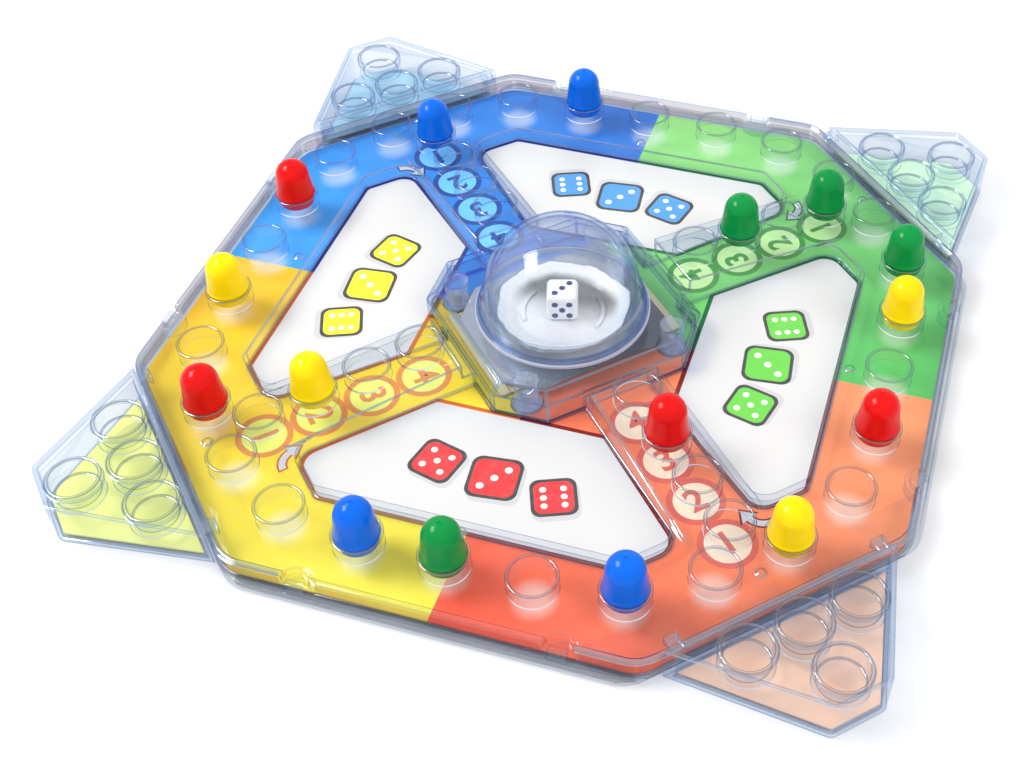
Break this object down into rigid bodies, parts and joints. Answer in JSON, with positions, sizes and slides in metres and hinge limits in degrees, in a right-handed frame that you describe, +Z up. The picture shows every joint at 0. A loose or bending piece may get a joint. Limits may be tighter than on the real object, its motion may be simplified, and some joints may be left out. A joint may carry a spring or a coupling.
{
  "type": "pop up dice board game",
  "caption": "Square-set clear plastic board over a printed card, with a press dome that throws a die, ringed peg sockets, pegs and a clip-on tray at each corner.",
  "frame": {"origin": "on the table under the middle of the dome", "axes": "+X to the board's right side, +Y to its back, +Z up"},
  "size_m": [0.2544, 0.2544, 0.0433],
  "materials": {
    "clear_cover": "clear, polished",
    "clear_base": "clear grey, polished",
    "clear_dome": "clear, polished",
    "clear_tray": "clear, polished",
    "card_print": "printed, coated",
    "white_plastic": "white",
    "spring_steel": "bright",
    "screw_steel": "zinc",
    "die_white": "white with dark blue pips",
    "peg_yellow": "glossy yellow",
    "peg_red": "glossy red",
    "peg_green": "glossy green",
    "peg_blue": "glossy blue",
    "corner_print_yellow": "printed pale yellow",
    "corner_print_red": "printed pale red",
    "corner_print_green": "printed pale green",
    "corner_print_blue": "printed pale blue"
  },
  "bodies": {
    "board": {"base_tray": "clear_base", "home_sockets_blue": "clear_cover", "home_sockets_green": "clear_cover", "home_sockets_red": "clear_cover", "home_sockets_yellow": "clear_cover", "housing_screws": "screw_steel", "printed_card": "card_print", "spring_frame": "white_plastic", "spring_plate": "spring_steel", "top_cover": "clear_cover", "track_sockets_back": "clear_cover", "track_sockets_front": "clear_cover", "track_sockets_left": "clear_cover", "track_sockets_right": "clear_cover"},
    "popper": {"dome": "clear_dome", "die_dish": "white_plastic"},
    "die": {"die": "die_white"},
    "tray_yellow": {"corner_tray_yellow": "clear_tray", "corner_floor_yellow": "clear_tray", "corner_card_yellow": "corner_print_yellow", "corner_wells_yellow": "clear_tray"},
    "tray_red": {"corner_tray_red": "clear_tray", "corner_floor_red": "clear_tray", "corner_card_red": "corner_print_red", "corner_wells_red": "clear_tray"},
    "tray_green": {"corner_tray_green": "clear_tray", "corner_floor_green": "clear_tray", "corner_card_green": "corner_print_green", "corner_wells_green": "clear_tray"},
    "tray_blue": {"corner_tray_blue": "clear_tray", "corner_floor_blue": "clear_tray", "corner_card_blue": "corner_print_blue", "corner_wells_blue": "clear_tray"},
    "peg_yellow_1": {"peg_yellow_1": "peg_yellow"},
    "peg_yellow_2": {"peg_yellow_2": "peg_yellow"},
    "peg_yellow_3": {"peg_yellow_3": "peg_yellow"},
    "peg_yellow_4": {"peg_yellow_4": "peg_yellow"},
    "peg_red_1": {"peg_red_1": "peg_red"},
    "peg_red_2": {"peg_red_2": "peg_red"},
    "peg_red_3": {"peg_red_3": "peg_red"},
    "peg_red_4": {"peg_red_4": "peg_red"},
    "peg_green_1": {"peg_green_1": "peg_green"},
    "peg_green_2": {"peg_green_2": "peg_green"},
    "peg_green_3": {"peg_green_3": "peg_green"},
    "peg_green_4": {"peg_green_4": "peg_green"},
    "peg_blue_1": {"peg_blue_1": "peg_blue"},
    "peg_blue_2": {"peg_blue_2": "peg_blue"},
    "peg_blue_3": {"peg_blue_3": "peg_blue"},
    "peg_blue_4": {"peg_blue_4": "peg_blue"}
  },
  "joints": [
    {"name": "tray_yellow_lift", "type": "slide", "parent": "board", "child": "tray_yellow", "axis": [0, 0, 1], "range_m": [0, 0.03]},
    {"name": "tray_red_lift", "type": "slide", "parent": "board", "child": "tray_red", "axis": [0, 0, 1], "range_m": [0, 0.03]},
    {"name": "tray_green_lift", "type": "slide", "parent": "board", "child": "tray_green", "axis": [0, 0, 1], "range_m": [0, 0.03]},
    {"name": "tray_blue_lift", "type": "slide", "parent": "board", "child": "tray_blue", "axis": [0, 0, 1], "range_m": [0, 0.03]},
    {"name": "peg_yellow_1_lift", "type": "slide", "parent": "board", "child": "peg_yellow_1", "axis": [0, 0, 1], "range_m": [0, 0.03]},
    {"name": "peg_yellow_2_lift", "type": "slide", "parent": "board", "child": "peg_yellow_2", "axis": [0, 0, 1], "range_m": [0, 0.03]},
    {"name": "peg_yellow_3_lift", "type": "slide", "parent": "board", "child": "peg_yellow_3", "axis": [0, 0, 1], "range_m": [0, 0.03]},
    {"name": "peg_yellow_4_lift", "type": "slide", "parent": "board", "child": "peg_yellow_4", "axis": [0, 0, 1], "range_m": [0, 0.03]},
    {"name": "peg_red_1_lift", "type": "slide", "parent": "board", "child": "peg_red_1", "axis": [0, 0, 1], "range_m": [0, 0.03]},
    {"name": "peg_red_2_lift", "type": "slide", "parent": "board", "child": "peg_red_2", "axis": [0, 0, 1], "range_m": [0, 0.03]},
    {"name": "peg_red_3_lift", "type": "slide", "parent": "board", "child": "peg_red_3", "axis": [0, 0, 1], "range_m": [0, 0.03]},
    {"name": "peg_red_4_lift", "type": "slide", "parent": "board", "child": "peg_red_4", "axis": [0, 0, 1], "range_m": [0, 0.03]},
    {"name": "peg_green_1_lift", "type": "slide", "parent": "board", "child": "peg_green_1", "axis": [0, 0, 1], "range_m": [0, 0.03]},
    {"name": "peg_green_2_lift", "type": "slide", "parent": "board", "child": "peg_green_2", "axis": [0, 0, 1], "range_m": [0, 0.03]},
    {"name": "peg_green_3_lift", "type": "slide", "parent": "board", "child": "peg_green_3", "axis": [0, 0, 1], "range_m": [0, 0.03]},
    {"name": "peg_green_4_lift", "type": "slide", "parent": "board", "child": "peg_green_4", "axis": [0, 0, 1], "range_m": [0, 0.03]},
    {"name": "peg_blue_1_lift", "type": "slide", "parent": "board", "child": "peg_blue_1", "axis": [0, 0, 1], "range_m": [0, 0.03]},
    {"name": "peg_blue_2_lift", "type": "slide", "parent": "board", "child": "peg_blue_2", "axis": [0, 0, 1], "range_m": [0, 0.03]},
    {"name": "peg_blue_3_lift", "type": "slide", "parent": "board", "child": "peg_blue_3", "axis": [0, 0, 1], "range_m": [0, 0.03]},
    {"name": "peg_blue_4_lift", "type": "slide", "parent": "board", "child": "peg_blue_4", "axis": [0, 0, 1], "range_m": [0, 0.03]},
    {"name": "dome_press", "type": "slide", "parent": "board", "child": "popper", "axis": [0, 0, 1], "range_m": [-0.002, 0], "stiffness_N_per_m": 1500, "springref_m": 0.001, "deforming": ["spring_plate"]},
    {"name": "die_hop", "type": "slide", "parent": "popper", "child": "die", "axis": [0, 0, 1], "range_m": [0, 0.015]}
  ]
}
